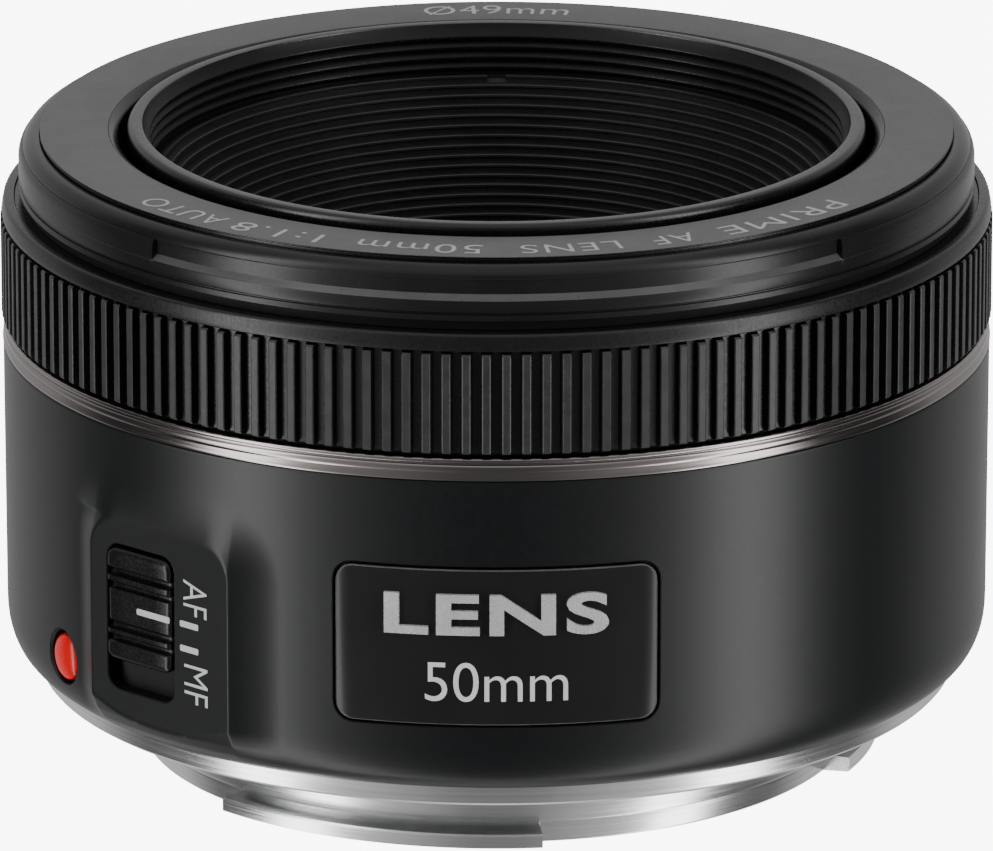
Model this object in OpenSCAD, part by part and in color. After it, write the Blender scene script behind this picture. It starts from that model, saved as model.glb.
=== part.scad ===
// Prime lens, 50 mm class, standing on its bayonet: millimetres, +Z to the front
// Origin: centre of the seat face of the camera flange. Badge side is -Y.

/* [Outer body] */
// Radius of the rear barrel where it meets the trim ring
body_r = 34.5; // [34.3:0.05:34.6]
// Height of the top edge of the rear barrel above the flange seat
body_top = 23.92; // [23.8:0.02:24.0]
// Crest radius of the ribbed focus ring
grip_r = 34.6; // [34.4:0.05:35.0]
// Height of the flat name ring above the flange seat
face_z = 38.9; // [38.7:0.05:39.0]
// How far the inner barrel stands proud of the name ring
rim_proud = 0.4; // [0.2:0.05:0.8]

/* [Focus ring] */
// Number of ribs round the focus ring
rib_count = 160; // [120:1:180]
// Share of each rib pitch taken by the crest
rib_share = 0.42; // [0.3:0.02:0.6]
// Depth of the valleys between ribs
rib_depth = 0.55; // [0.3:0.05:0.7]
// Number of teeth on the encoder comb
comb_teeth = 48; // [24:1:60]

/* [Filter thread] */
// Crest radius of the internal filter thread
thread_r = 24.15; // [24.05:0.05:24.25]
// Thread pitch
thread_pitch = 0.75; // [0.7:0.01:0.8]
// Thread depth
thread_depth = 0.3; // [0.2:0.05:0.4]

/* [Name ring and badge] */
// Outer radius of the name ring
name_ro = 31.77; // [31.5:0.01:31.78]
// Inner radius of the name ring
name_ri = 27.02; // [27.02:0.02:27.4]
// Half angle of the badge plate
badge_half = 18.4; // [16:0.1:19]
// Bottom edge of the badge plate
badge_z0 = 6.62; // [6:0.02:7]
// Top edge of the badge plate
badge_z1 = 17.64; // [17:0.02:18]

/* [Mode switch] */
// Angle of the switch pad from the badge
pad_angle = -41.6; // [-43:0.2:-41]
// Height of the top of the switch pad
pad_top = 17.6; // [17.4:0.1:18]
// Cap height over the pad
knob_proud = 0.3; // [0.2:0.05:0.9]

/* [Bayonet] */
// Bore radius of the mount ring
bore_r = 22.5; // [22.45:0.05:22.8]
// Outer radius of the three bayonet tabs
tab_r = 27.0; // [26.6:0.05:27.1]
// Outer radius of the flange
flange_r = 32.2; // [31.8:0.1:32.6]

/* [Hidden] */
$fn = 120;
wall_r = 33.0;
badge_x = round(body_r * sin(badge_half) * 100) / 100;
bez_z = 34.82;
stroke = 10.5;
cam_turn = 105;
cam_teeth = 130;
roll_z = 12.0;
roll_at = [20, 140, 260];
screw_at = [25, 115, 205, 295];
screw_r = 29.7;
bez_screw_at = [45, 135, 225, 315];
board_at = [-150, -20, 95];
// gear train: polar angles measured from +X
motor_pol = 60;
motor_rad = 29.3;
idler_rad = 28.4;
idler_pol = 70.59;
motor_x = motor_rad * cos(motor_pol);
motor_y = motor_rad * sin(motor_pol);
idler_x = idler_rad * cos(idler_pol);
idler_y = idler_rad * sin(idler_pol);
train_dir = atan2(motor_y - idler_y, motor_x - idler_x);
post_pol = [49, 82.4];
post_rad = 29.6;
// aperture
blades = 7;
piv_r = 18.2;
pin_off = 3;
iris_turn = 19;
iris_ratio = 1.4;
ap_pol = 160;
ap_rad = 16.6;

// ---------- helpers ----------
module at(t) rotate([0, 0, t]) children();

module ring(ro, ri, z0, z1)
  translate([0, 0, z0]) difference() {
    cylinder(r = ro, h = z1 - z0);
    translate([0, 0, -1]) cylinder(r = ri, h = z1 - z0 + 2);
  }

module wedge(t0, t1, z0, z1)
  translate([0, 0, z0]) linear_extrude(z1 - z0) polygon(concat([[0, 0]],
    [for (i = [0:8]) let (t = t0 + (t1 - t0) * i / 8) [60 * sin(t), -60 * cos(t)]]));

module arc(ro, ri, z0, z1, t0, t1)
  intersection() {
    ring(ro, ri, z0, z1);
    wedge(t0, t1, z0 - 1, z1 + 1);
  }

// disc with its axis along the radius, on the -Y side
module radial(r, y0, y1, x, z)
  translate([x, -y0, z]) rotate([90, 0, 0]) cylinder(r = r, h = y1 - y0);

// rounded prism standing on the -Y side: x0..x1 across, z0..z1 up, y0..y1 out
module slab(x0, x1, z0, z1, y0, y1, r)
  union() {
    translate([x0 + r, -y1, z0]) cube([x1 - x0 - 2 * r, y1 - y0, z1 - z0]);
    translate([x0, -y1, z0 + r]) cube([x1 - x0, y1 - y0, z1 - z0 - 2 * r]);
    for (x = [x0 + r, x1 - r], z = [z0 + r, z1 - r]) radial(r, y0, y1, x, z);
  }

module box(x0, x1, y0, y1, z0, z1)
  translate([x0, -y1, z0]) cube([x1 - x0, y1 - y0, z1 - z0]);

module pillar(t, rad, r, z0, z1)
  at(t) translate([0, -rad, z0]) cylinder(r = r, h = z1 - z0);

// screw pointing up: pan head below, shank above, cross recess in the head
module pan_up(t, rad, rh, hz0, hz1, rs, z1)
  at(t) translate([0, -rad, 0]) difference() {
    union() {
      translate([0, 0, hz0]) cylinder(r = rh, h = hz1 - hz0);
      translate([0, 0, hz0 + 0.1]) cylinder(r = rs, h = z1 - hz0 - 0.1);
    }
    for (a = [0, 90]) rotate([0, 0, a])
      translate([-rh * 0.6, -rh * 0.14, hz0 - 0.1]) cube([rh * 1.2, rh * 0.28, 0.32]);
  }

// screw pointing down
module pan_down(t, rad, rh, hz0, hz1, rs, z0)
  at(t) translate([0, -rad, 0]) difference() {
    union() {
      translate([0, 0, hz0]) cylinder(r = rh, h = hz1 - hz0);
      translate([0, 0, z0]) cylinder(r = rs, h = hz1 - z0 - 0.1);
    }
    for (a = [0, 90]) rotate([0, 0, a])
      translate([-rh * 0.6, -rh * 0.14, hz1 - 0.22]) cube([rh * 1.2, rh * 0.28, 0.32]);
  }

// involute gear outline, tooth i centred at a0 + i*360/n
function invd(a) = tan(a) * 180 / PI - a;
function half_at(r, m, n, bl) = let (rb = m * n * cos(20) / 2, al = r > rb ? acos(rb / r) : 0)
  90 / n + invd(20) - invd(al) - bl / (m * n) * 180 / PI;
function gear_pts(m, n, add, ded, bl, a0, i0, i1) = let (rp = m * n / 2, rb = rp * cos(20),
  rr = rp - ded * m, rt = rp + add * m, q = [rr, max(rb, rr + 0.02), (rp + rt) / 2, rt])
  [for (i = [i0:i1]) for (k = [0:7]) let (j = k < 4 ? k : 7 - k, s = k < 4 ? -1 : 1,
    a = a0 + i * 360 / n + s * half_at(q[j], m, n, bl)) [q[j] * cos(a), q[j] * sin(a)]];

module gear(m, n, add, ded, bl, a0, z0, z1)
  translate([0, 0, z0]) linear_extrude(z1 - z0)
    polygon(gear_pts(m, n, add, ded, bl, a0, 0, n - 1));

// ---------- mount and rear ----------
module mount_ring() color([0.78, 0.77, 0.75]) difference() {
  union() {
    rotate_extrude() polygon([[bore_r, -5.05], [bore_r + 0.2, -5.25], [24.8, -5.25],
      [25.0, -5.05], [25.0, -3.5], [25.65, -3.5], [25.8, -3.35], [25.8, 0.3], [27.2, 0.3],
      [27.2, 0], [flange_r - 0.2, 0], [flange_r, 0.2], [flange_r, 1.4], [bore_r, 1.4]]);
    arc(tab_r, 24.5, -5.0, -3.95, -44.6, 6.8);
    arc(tab_r, 24.5, -5.0, -3.95, 65.9, 117);
    arc(tab_r, 24.5, -5.0, -3.95, 190, 240);
  }
  for (t = screw_at) at(t) translate([0, -screw_r, 0]) {
    translate([0, 0, -0.01]) cylinder(r1 = 1.47, r2 = 0.77, h = 0.71);
    cylinder(r = 0.75, h = 3);
  }
  at(-105) slab(-1.3, 1.3, -2, 3, 0, 1, 0.3);
  at(-105) translate([0, -29.2, -1]) cylinder(r = 1.3, h = 2.2);
  for (t = [12, 28]) at(150 + t) translate([0, -26.4, -1]) cylinder(r = 0.4, h = 2);
}

module mount_screws() color([0.35, 0.35, 0.36])
  for (t = screw_at) at(t) translate([0, -screw_r, 0.04]) difference() {
    union() {
      cylinder(r1 = 1.4, r2 = 0.7, h = 0.7);
      cylinder(r = 0.7, h = 4.1);
    }
    for (a = [0, 90]) rotate([0, 0, a]) translate([-0.85, -0.19, -0.1]) cube([1.7, 0.38, 0.5]);
  }

module rear_baffle() color([0.1, 0.1, 0.11]) difference() {
  union() {
    rotate_extrude() polygon([[14.6, -4.75], [22.4, -4.75], [22.4, 1.4], [27.9, 1.4],
      [27.9, 2.4], [21.7, 2.4], [21.7, -3.75], [14.2, -3.75], [14.2, -4.35]]);
    for (k = [0:2]) ring(15.6 + 1.1 * k, 15.3 + 1.1 * k, -4.95, -4.55);
  }
  wedge(152.7, 207.3, -7, -1.95);
  for (t = [149.5, 210.5]) at(t) translate([0, -20.2, -4.35]) {
    translate([0, 0, -1]) cylinder(r = 0.95, h = 1.06);
    cylinder(r = 0.52, h = 2);
  }
}

module contact_block() color([0.08, 0.08, 0.09]) difference() {
  union() {
    arc(22.35, 18.6, -4.95, -2.35, 153, 207);
    arc(21.5, 18.8, -3.75, -2.75, 147, 213);
  }
  for (k = [-3:3]) pillar(180 + 5.4 * k, 20.6, 0.57, -7, -2);
  for (t = [149.5, 210.5]) pillar(t, 20.2, 0.42, -7, -2);
}

module contact_pins() color([0.9, 0.75, 0.35])
  for (k = [-3:3]) at(180 + 5.4 * k) translate([0, -20.6, 0]) union() {
    translate([0, 0, -5.1]) cylinder(r = 0.55, h = 3.4);
    translate([0, 0, -2.35]) cylinder(r = 0.75, h = 0.3);
  }

module contact_screws() color([0.35, 0.35, 0.36])
  for (t = [149.5, 210.5]) pan_up(t, 20.2, 0.85, -4.71, -4.31, 0.4, -2.85);

module rear_frame() color([0.16, 0.16, 0.17]) difference() {
  union() {
    ring(32.8, 22.0, 2.4, 3.6);
    for (t = screw_at) pillar(t, screw_r, 1.6, 3.5, 4.3);
    for (a = post_pol) pillar(a + 90, post_rad, 1.15, 3.5, 10.7);
    for (t = board_at) pillar(t, 30.8, 1.2, 3.5, 4.4);
    translate([idler_x, idler_y, 3.5]) cylinder(r = 1.4, h = 1.4);
  }
  for (t = screw_at) pillar(t, screw_r, 0.72, 2, 5);
  for (a = post_pol) pillar(a + 90, post_rad, 0.47, 8, 12);
  for (t = board_at) pillar(t, 30.8, 0.42, 3, 5);
  for (t = [80, 200, 320]) pillar(t, 24.6, 0.42, 2, 5);
  translate([idler_x, idler_y, 2]) cylinder(r = 0.5, h = 4);
}

// ---------- rear barrel and what sits on it ----------
module rear_barrel() color([0.1, 0.1, 0.12]) difference() {
  union() {
    rotate_extrude() polygon([[28, 1.4], [32.4, 1.4], [32.6, 1.47], [33.0, 1.65], [33.45, 2.0],
      [33.85, 2.5], [34.15, 3.1], [34.34, 3.8], [34.43, 4.6], [body_r, body_top - 0.1],
      [body_r - 0.1, body_top],
      [wall_r, body_top], [wall_r, 2.4], [28, 2.4]]);
    intersection() {
      at(pad_angle) union() {
        slab(-6.25, 6.3, 6, pad_top, 33.3, 34.72, 2.2);
        box(-6.25, 6.3, 33.3, 34.72, 1.4, 12);
      }
      rotate_extrude() polygon([[0, 1.4], [32.4, 1.4], [33.1, 1.65], [33.7, 2.05],
        [34.3, 2.7], [34.8, 3.5], [35.2, 4.5], [35.5, 6], [35.5, 19], [0, 19]]);
    }
    at(pad_angle) box(1.7, 2.9, 30.8, 33.3, 6.2, 7.4);
    at(pad_angle) box(-4.8, -3.6, 30.8, 33.2, 15.6, 16.8);
    at(pad_angle) radial(0.35, 29.9, 31.5, 2.3, 6.8);
    at(pad_angle) radial(0.35, 29.9, 31.5, -4.2, 16.2);
  }
  for (t = screw_at) pillar(t, screw_r, 0.8, 0, 4);
  at(pad_angle) slab(-4.8, 1.4, 5.4, 15.9, 33.6, 37, 1.1);
  at(pad_angle) box(-2.65, -1.25, 31, 34, 8.5, 12.0);
  difference() {
    slab(-badge_x - 0.2, badge_x + 0.2, badge_z0 - 0.2, badge_z1 + 0.2, 30, 36, 2.2);
    cylinder(r = 33.85, h = 30);
  }
  at(-60.5) radial(1.9, 33.4, 36, 0, 5.5);
}

module index_dot() color([0.8, 0.08, 0.06])
  at(-60.5) intersection() {
    radial(1.65, 33.4, 35, 0, 5.5);
    translate([0, -31.55, 5.5]) sphere(r = 3.05);
  }

module badge_plate() color([0.05, 0.05, 0.05]) difference() {
  slab(-badge_x, badge_x, badge_z0, badge_z1, 30, 36, 2);
  cylinder(r = 33.85, h = 30);
  ring(45, body_r + 0.02, 1, 25);
}

module switch_board() color([0.1, 0.3, 0.18])
  at(pad_angle) difference() {
    box(-5.2, 3.2, 30.2, 30.8, 5.9, 17.2);
    radial(0.36, 29, 32, 2.3, 6.8);
    radial(0.36, 29, 32, -4.2, 16.2);
  }

module detent_spring() color([0.8, 0.7, 0.45])
  at(pad_angle) union() {
    box(-1.0, 0.1, 31.3, 31.42, 6.6, 15.4);
    box(-1.0, 0.1, 30.8, 31.36, 6.6, 7.2);
    box(-1.0, 0.1, 30.8, 31.36, 14.8, 15.4);
    translate([-1.0, -31.36, 11.1]) rotate([0, 90, 0]) cylinder(r = 0.3, h = 1.1);
  }

module mode_switch() color([0.14, 0.14, 0.16])
  at(pad_angle) difference() {
    union() {
      slab(-4.62, 1.22, 7.5, 15.7, 33.65, 34.72 + knob_proud, 0.8);
      box(-2.6, -1.3, 31.6, 34, 10.4, 11.8);
    }
    for (z = [9.0, 9.9, 12.75, 13.8]) box(-6, 2, 34.72 + knob_proud - 0.4, 37, z, z + 0.42);
    box(-6, 2, 34.72 + knob_proud - 0.15, 37, 10.32, 12.75);
    box(-1.9, 2, 34.72 + knob_proud - 0.2, 37, 11.28, 11.72);
  }

module switch_slider() color([0.75, 0.75, 0.72])
  at(pad_angle) difference() {
    box(-4.2, 0.3, 31.7, 32.3, 9.0, 13.2);
    box(-2.62, -1.28, 31, 33, 10.38, 11.82);
    translate([-2, -31.62, 11.1]) rotate([0, 90, 0]) cylinder(r = 0.32, h = 4);
    translate([-2, -31.62, 12.8]) rotate([0, 90, 0]) cylinder(r = 0.32, h = 4);
  }

module trim_ring() color([0.45, 0.43, 0.4])
  rotate_extrude() polygon([[32.2, 21.6], [32.95, 21.6], [32.95, body_top],
    [34.45, body_top], [34.5, 24.02], [34.5, 24.3], [34.34, 24.48], [34.42, 24.58],
    [34.42, 24.96], [34.3, 25.04], [34.3, 25.12], [34.4, 25.18], [34.4, 25.4],
    [34.28, 25.52], [32.2, 25.52]]);

module friction_washers() color([0.85, 0.83, 0.7]) {
  ring(33.6, 32.3, 25.52, 25.70);
  ring(32.9, 31.4, 34.14, 34.80);
}

// ---------- front bezel ----------
module front_bezel() color([0.08, 0.08, 0.09]) difference() {
  union() {
    rotate_extrude() polygon([[26.3, 33.2], [26.3, 38.25], [26.45, 38.55],
      [27.0, face_z - 0.02], [27.0, 38.1], [31.8, 38.1], [31.8, 38.55], [32.15, 38.52],
      [32.5, 38.4], [32.8, 38.15], [32.96, 37.9], [33.0, 37.72], [33.12, 37.66],
      [33.24, 37.45], [33.3, 37.2], [33.3, 35.42], [33.14, 35.36], [33.14, 35.3],
      [33.28, 35.22], [33.3, bez_z], [31.2, bez_z],
      [31.2, 25.6], [29.9, 25.6], [29.9, 36.0], [27.6, 36.0], [27.6, 33.2]]);
    for (t = bez_screw_at) pillar(t, 29.7, 1.2, 25.66, 36.1);
  }
  ring(27.0, 20, 34.2, 35.6);
  for (t = [0, 180]) intersection() {
    rotate_extrude() polygon([[32.88, 36.6], [36, 33.79], [36, 37.68], [32.88, 37.68]]);
    wedge(t - 44.5, t + 44.7, 33, 39);
  }
  for (t = bez_screw_at) pillar(t, 29.7, 0.52, 20, 30);
}

module name_ring() color([0.4, 0.4, 0.4])
  rotate_extrude() polygon([[name_ri, 38.1], [name_ro, 38.1], [name_ro, face_z - 0.06],
    [name_ro - 0.06, face_z], [name_ri + 0.05, face_z], [name_ri, face_z - 0.05]]);

module felt_seal() color([0.05, 0.05, 0.05]) ring(26.98, 25.74, 34.22, 35.58);

module bezel_screws() color([0.35, 0.35, 0.36])
  for (t = bez_screw_at) pan_up(t, 29.7, 0.95, 23.9, 24.6, 0.5, 29.6);

// ---------- focusing mechanism ----------
module guide_barrel() color([0.13, 0.13, 0.14]) difference() {
  union() {
    rotate_extrude() polygon([[22.0, 3.6], [25.6, 3.6], [25.6, 4.4], [23.2, 4.4],
      [23.2, 7.0], [23.9, 7.2], [23.9, 7.95], [23.2, 7.95], [23.2, 24.6],
      [31.2, 24.6], [31.2, 25.6], [22.0, 25.6]]);
  }
  for (t = roll_at) at(t) slab(-1.33, 1.33, roll_z - 1.5, roll_z + stroke + 1.5, 20, 23.5, 1.3);
  for (t = bez_screw_at) pillar(t, 29.7, 0.55, 20, 30);
  for (t = [80, 200, 320]) pillar(t, 24.6, 0.45, 2, 5);
  for (t = [15, 75, 165, 255, 345]) at(t) slab(-3, 3, 20, 30, 0, 0.5, 0.4);
}

module photo_interrupters() color([0.12, 0.12, 0.13])
  for (t = [66, 78]) union() {
    arc(31.3, 30.4, 17.9, 24.6, t, t + 7);
    arc(32.8, 30.4, 17.9, 19.0, t, t + 7);
    arc(32.8, 32.2, 17.9, 21.3, t, t + 7);
  }

module main_board() color([0.08, 0.28, 0.16]) difference() {
  union() {
    arc(32.4, 26.2, 4.4, 5.2, -170, 122);
    for (t = [-120, -85, 10, 60]) at(t) translate([-2.4, -31.4, 5.1]) cube([4.8, 4.2, 1.0]);
    for (t = [-102, -97, 28, 34, 40, 80, 86, 110])
      at(t) translate([-0.5, -30.5, 5.1]) cube([1.0, 2.0, 0.8]);
  }
  for (t = board_at) pillar(t, 30.8, 0.45, 3, 6);
}

module frame_screws() color([0.35, 0.35, 0.36]) {
  for (t = board_at) pan_down(t, 30.8, 0.8, 5.2, 5.7, 0.4, 3.4);
  for (t = [80, 200, 320]) pan_down(t, 24.6, 0.8, 4.4, 4.9, 0.4, 2.6);
}

module motor_bracket() color([0.6, 0.6, 0.6]) difference() {
  arc(32.4, 26.9, 10.7, 11.4, 90 + 44, 90 + 87);
  for (a = post_pol) pillar(a + 90, post_rad, 0.5, 9, 13);
  translate([idler_x, idler_y, 9]) cylinder(r = 0.52, h = 4);
  translate([motor_x, motor_y, 9]) cylinder(r = 1.2, h = 4);
}

module focus_motor() color([0.7, 0.7, 0.7])
  translate([motor_x, motor_y, 0]) union() {
    translate([0, 0, 11.4]) cylinder(r = 3.2, h = 8.3);
    translate([0, 0, 19.6]) cylinder(r = 1.2, h = 0.8);
    translate([0, 0, 10.9]) cylinder(r = 1.1, h = 1.0);
    translate([0, 0, 5.4]) cylinder(r = 0.4, h = 6.2);
  }

module motor_screws() color([0.35, 0.35, 0.36])
  for (a = post_pol) pan_down(a + 90, post_rad, 0.9, 11.4, 11.95, 0.45, 8.4);

module gear_axle() color([0.8, 0.8, 0.8])
  translate([idler_x, idler_y, 2.6]) cylinder(r = 0.5, h = 9.0);

module idler_gear() color([0.85, 0.83, 0.75])
  translate([idler_x, idler_y, 0]) difference() {
    union() {
      gear(0.3, 26, 0.6, 1.0, 0.05, train_dir, 5.6, 6.6);
      gear(0.4, 12, 0.7, 1.0, 0.07, idler_pol + 180 - 15, 6.5, 10.1);
      translate([0, 0, 5.1]) cylinder(r = 1.2, h = 0.6);
    }
    translate([0, 0, 4]) cylinder(r = 0.54, h = 8);
  }

module motor_pinion() color([0.85, 0.7, 0.35])
  translate([motor_x, motor_y, 0]) difference() {
    gear(0.3, 10, 0.6, 1.0, 0.05, train_dir + 180 - 18, 5.5, 7.0);
    translate([0, 0, 4]) cylinder(r = 0.42, h = 8);
  }

// helical slot cutter: centre line falls as the polar angle falls away from the roller
module cam_cut(p0) {
  n = 30;
  h = 1.39;
  pts = [for (i = [0:n]) for (q = [[22.9, -h], [25.2, -h], [25.2, h], [22.9, h]])
    let (a = p0 - cam_turn * (1 - i / n), z = roll_z + stroke * (1 - i / n))
    [q[0] * cos(a), q[0] * sin(a), z + q[1]]];
  side = [for (i = [0:n - 1]) for (j = [0:3]) let (a = 4 * i, b = 4 * i + 4, k = (j + 1) % 4)
    each [[a + j, a + k, b + k], [a + j, b + k, b + j]]];
  polyhedron(points = pts, faces = concat([[3, 2, 1, 0]], side,
    [[4 * n, 4 * n + 1, 4 * n + 2, 4 * n + 3]]));
}

module cam_ring() color([0.62, 0.6, 0.55]) difference() {
  union() {
    ring(24.9, 23.25, 8.0, 24.5);
    translate([0, 0, 8.2]) linear_extrude(1.7) polygon(concat(
      gear_pts(0.4, cam_teeth, 0.7, 1.0, 0.07, idler_pol, -41, 3),
      [for (i = [0:12]) let (a = idler_pol + 9.7 - i * 10.3) [24.4 * cos(a), 24.4 * sin(a)]]));
  }
  for (t = roll_at) {
    cam_cut(t - 90);
    at(t) radial(1.46, 22, 26, 0, roll_z);
    at(t - cam_turn) radial(1.46, 22, 26, 0, roll_z + stroke);
  }
}

module cam_rollers() color([0.85, 0.7, 0.35])
  for (t = roll_at) at(t) union() {
    radial(0.78, 20.6, 22.5, 0, roll_z);
    radial(1.3, 21.98, 24.8, 0, roll_z);
  }

// ---------- focus ring ----------
module focus_ring() color([0.13, 0.13, 0.13]) union() {
  rotate_extrude() polygon([[31.26, 26.4], [32.02, 26.4], [32.02, 25.74], [33.95, 25.74],
    [34.05, 25.84], [33.5, 25.84], [33.5, 32.9], [34.05, 32.9], [34.05, 33.0],
    [34.44, 33.06], [34.5, 33.2], [34.5, 33.5], [34.38, 34.05], [34.28, 34.18], [34.12, 34.25],
    [33.6, 34.25], [33.6, 34.1], [31.26, 34.1]]);
  difference() {
    translate([0, 0, 25.84]) linear_extrude(7.06) polygon([for (i = [0:rib_count - 1])
      for (k = [0:3]) let (p = 360 / rib_count, w = p * rib_share / 2,
        v = p / 2 - 0.28 * p * (1 - rib_share),
        r = (k == 0 || k == 3) ? grip_r - rib_depth : grip_r,
        a = (i + 0.5) * p - 90 + [-v, -w, w, v][k]) [r * cos(a), r * sin(a)]]);
    translate([0, 0, 20]) cylinder(r = 33.0, h = 20);
  }
}

module encoder_comb() color([0.2, 0.2, 0.2]) difference() {
  ring(32.0, 31.6, 20.0, 26.4);
  for (i = [0:comb_teeth - 1]) at(i * 360 / comb_teeth)
    translate([-16 * 3.1416 / comb_teeth, -33, 19]) cube([32 * 3.1416 / comb_teeth, 3, 3.4]);
}

// ---------- moving optical group ----------
module focusing_barrel() color([0.1, 0.1, 0.1]) {
  zt = face_z + rim_proud;
  thr = [for (k = [3:-1:0]) let (z = face_z - 0.53 - k * thread_pitch, g = thread_pitch / 2)
    each [[thread_r + thread_depth, z - g + 0.03], [thread_r, z - 0.14], [thread_r, z + 0.14],
      [thread_r + thread_depth, z + g - 0.03]]];
  difference() {
    rotate_extrude() polygon(concat([[20.4, 4.6], [21.94, 4.6], [21.94, 26.5], [25.5, 26.5],
      [25.7, 26.7], [25.7, zt - 0.55], [25.6, zt - 0.22], [25.4, zt - 0.06], [25.15, zt],
      [24.72, zt], [24.62, zt - 0.08]],
      [for (i = [len(thr) - 1:-1:0]) thr[i]],
      [[24.45, 35.5], [23.8, 35.5], [23.8, 34.6], [23.45, 34.6], [23.45, 34.0], [23.6, 33.8],
      [23.6, 27.5], [20.4, 27.5]]));
    for (t = roll_at) at(t) radial(0.8, 20, 23, 0, roll_z);
  }
}

module front_baffle() color([0.05, 0.05, 0.05]) {
  rk = [22.96, 22.5, 22.04, 21.58, 21.11, 20.65, 20.21, 19.78, 19.36, 18.95, 18.54, 18.13,
    17.72, 17.31, 16.9, 16.49];
  rotate_extrude() polygon(concat([[23.76, 34.6], [23.76, 35.45], [23.66, 35.74],
    [23.41, 35.74], [23.3, 35.3]],
    [for (k = [0:15]) let (z = 35.16 - 0.61 * k) each [[rk[k], z], [rk[k], z - 0.14],
      [rk[k] + 0.14, z - 0.2], [rk[k] + 0.14, z - 0.6]]],
    [[16.2, 25.35], [16.2, 25.1], [17.6, 25.1], [17.9, 26.2], [23.4, 33.9], [23.4, 34.6]]));
}

module front_cell() color([0.1, 0.1, 0.1]) difference() {
  rotate_extrude() polygon([[8.9, 10.6], [20.36, 10.6], [20.36, 24.9], [16.65, 24.9],
    [16.65, 21.5], [15.25, 21.5], [15.25, 19.35], [13.25, 19.35], [13.25, 13.5],
    [11.95, 13.5], [11.95, 11.28], [8.9, 11.28]]);
  ring(19.4, 17.6, 12.4, 26);
}

module front_retainer() color([0.08, 0.08, 0.08]) difference() {
  rotate_extrude() polygon([[14.4, 21.5], [16.6, 21.5], [16.6, 24.9], [16.0, 24.9],
    [14.4, 23.2]]);
  for (a = [0, 180]) at(a) translate([-0.6, -17, 24.2]) cube([1.2, 1.8, 1]);
}

module element_1() color([0.75, 0.85, 0.9]) difference() {
  intersection() {
    translate([0, 0, 15]) cylinder(r = 15.2, h = 12);
    translate([0, 0, 24.6 - 34]) sphere(r = 34, $fn = 300);
  }
  translate([0, 0, 20.2 - 140]) sphere(r = 140, $fn = 300);
}

module element_2() color([0.75, 0.85, 0.9]) difference() {
  intersection() {
    translate([0, 0, 10]) cylinder(r = 13.2, h = 12);
    translate([0, 0, 19.9 - 22]) sphere(r = 22, $fn = 300);
  }
  translate([0, 0, 15.3 - 50]) sphere(r = 50, $fn = 300);
}

module element_3() color([0.75, 0.85, 0.9]) difference() {
  intersection() {
    translate([0, 0, 11.3]) cylinder(r = 11.9, h = 8);
    translate([0, 0, 14.9 - 48]) sphere(r = 48, $fn = 300);
  }
  translate([0, 0, 13.3 - 19]) sphere(r = 19, $fn = 300);
}

module element_4() color([0.75, 0.85, 0.9]) difference() {
  cylinder(r = 9.8, h = 6.8);
  translate([0, 0, 4.4 + 18]) sphere(r = 18, $fn = 300);
  translate([0, 0, 3.2 - 60]) sphere(r = 60, $fn = 300);
}

module element_5() color([0.75, 0.85, 0.9]) intersection() {
  translate([0, 0, -3]) cylinder(r = 9.8, h = 8);
  translate([0, 0, 3.19 - 60]) sphere(r = 60, $fn = 300);
  translate([0, 0, -1.6 + 24]) sphere(r = 24, $fn = 300);
}

module element_6() color([0.75, 0.85, 0.9]) intersection() {
  translate([0, 0, -6]) cylinder(r = 11.0, h = 6);
  translate([0, 0, -1.85 - 70]) sphere(r = 70, $fn = 300);
  translate([0, 0, -5.0 + 40]) sphere(r = 40, $fn = 300);
}

module aperture_base() color([0.1, 0.1, 0.1]) difference() {
  ring(20.36, 9.3, 9.8, 10.6);
  for (i = [0:blades - 1]) rotate([0, 0, i * 360 / blades])
    translate([piv_r, 0, 9]) cylinder(r = 0.33, h = 3);
}

// drive slot centre line in the frame of the turning ring
function slot_pt(q) = let (b = iris_ratio * q, x = piv_r - pin_off * sin(b), y = pin_off * cos(b))
  [x * cos(q) + y * sin(q), y * cos(q) - x * sin(q)];
function slot_dir(q) = let (a = slot_pt(q - 0.2), b = slot_pt(q + 0.2)) (b - a) / norm(b - a);
function slot_off(q, d, f) = let (t = slot_dir(q))
  slot_pt(q) + d * (cos(f) * [-t[1], t[0]] + sin(f) * t);

module aperture_ring() color([0.15, 0.15, 0.15]) difference() {
  union() {
    ring(20.2, 15.8, 7.2, 8.0);
    arc(19.6, 17.86, 5.9, 7.3, ap_pol + 90 - 29, ap_pol + 90 + 10);
  }
  for (i = [0:blades - 1]) rotate([0, 0, i * 360 / blades]) translate([0, 0, 6.9])
    linear_extrude(2) polygon(concat(
      [for (k = [0:10]) slot_off(k * iris_turn / 10, 0.37, 0)],
      [for (f = [30:30:150]) slot_off(iris_turn, 0.37, f)],
      [for (k = [10:-1:0]) slot_off(k * iris_turn / 10, -0.37, 0)],
      [for (f = [30:30:150]) slot_off(0, -0.37, f)]));
  for (k = [-14:4]) rotate([0, 0, ap_pol + 2 * k]) translate([0, 0, 5]) linear_extrude(2.2)
    polygon([for (q = [[17.7, 1], [18.0, 1], [18.24, 1], [18.24, -1], [18.0, -1], [17.7, -1]])
      let (a = q[1] * half_at(q[0], 0.2, 180, -0.05)) [q[0] * cos(a), q[0] * sin(a)]]);
}

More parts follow.
